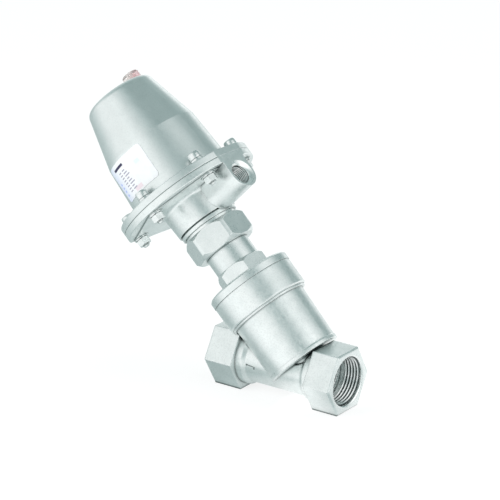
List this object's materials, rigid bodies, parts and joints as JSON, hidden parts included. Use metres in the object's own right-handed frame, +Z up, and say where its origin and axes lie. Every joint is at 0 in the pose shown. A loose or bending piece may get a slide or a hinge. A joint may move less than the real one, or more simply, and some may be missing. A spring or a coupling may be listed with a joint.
{
  "type": "angle seat piston valve",
  "caption": "Angle seat valve: a stainless pipe body with threaded hexagon ends, closed by springs and opened by an air-driven piston whose housing leans back over the inlet.",
  "frame": {"origin": "on the pipe's axis where the outlet's thread starts, just inside its countersink", "axes": "+X along the pipe's axis, out of the outlet; +Z up, on the actuator's side of the pipe; the actuator's axis lies in the XZ plane, 45 degrees from the pipe's, and leans towards -X"},
  "size_m": [0.2042, 0.1004, 0.1998],
  "materials": {
    "cast_steel": "satin, shot-blasted",
    "turned_steel": "satin, turned",
    "fastener_steel": "satin",
    "spring_steel": "satin",
    "bush_metal": "satin",
    "white_seal": "matt",
    "dark_seal": "matt",
    "guide_tape": "matt",
    "clear_cap": "clear",
    "red_pin": "gloss"
  },
  "bodies": {
    "valve": {"valve_body": "cast_steel", "bonnet": "turned_steel", "lower_housing": "cast_steel", "upper_housing": "cast_steel", "bonnet_gasket": "white_seal", "stem_bush": "bush_metal", "lock_nut": "turned_steel", "seal_washer": "turned_steel", "housing_bush": "bush_metal", "stem_ring": "dark_seal", "flange_ring": "dark_seal", "packing_springs": "spring_steel", "packing_washer": "turned_steel", "packing_rings": "white_seal", "packing_gland": "turned_steel", "outer_spring": "spring_steel", "inner_spring": "spring_steel", "spring_plate": "turned_steel", "indicator_cap": "clear_cap", "cap_ring": "dark_seal", "flange_screws": "fastener_steel", "flat_washers": "fastener_steel", "spring_washers": "fastener_steel", "flange_nuts": "fastener_steel"},
    "stem_set": {"stem": "turned_steel", "plug": "turned_steel", "seat_seal": "white_seal", "seal_plate": "turned_steel", "plug_nut": "fastener_steel", "piston": "turned_steel", "piston_guide": "guide_tape", "piston_seal": "dark_seal", "piston_ring": "dark_seal", "piston_washer": "fastener_steel", "piston_nut": "fastener_steel", "indicator_pin": "red_pin"}
  },
  "joints": [
    {"name": "stem_lift", "type": "slide", "parent": "valve", "child": "stem_set", "axis": [-0.7071, 0, 0.7071], "range_m": [0, 0.008], "stiffness_N_per_m": 12000, "springref_m": -0.012, "deforming": ["outer_spring", "inner_spring"]}
  ]
}
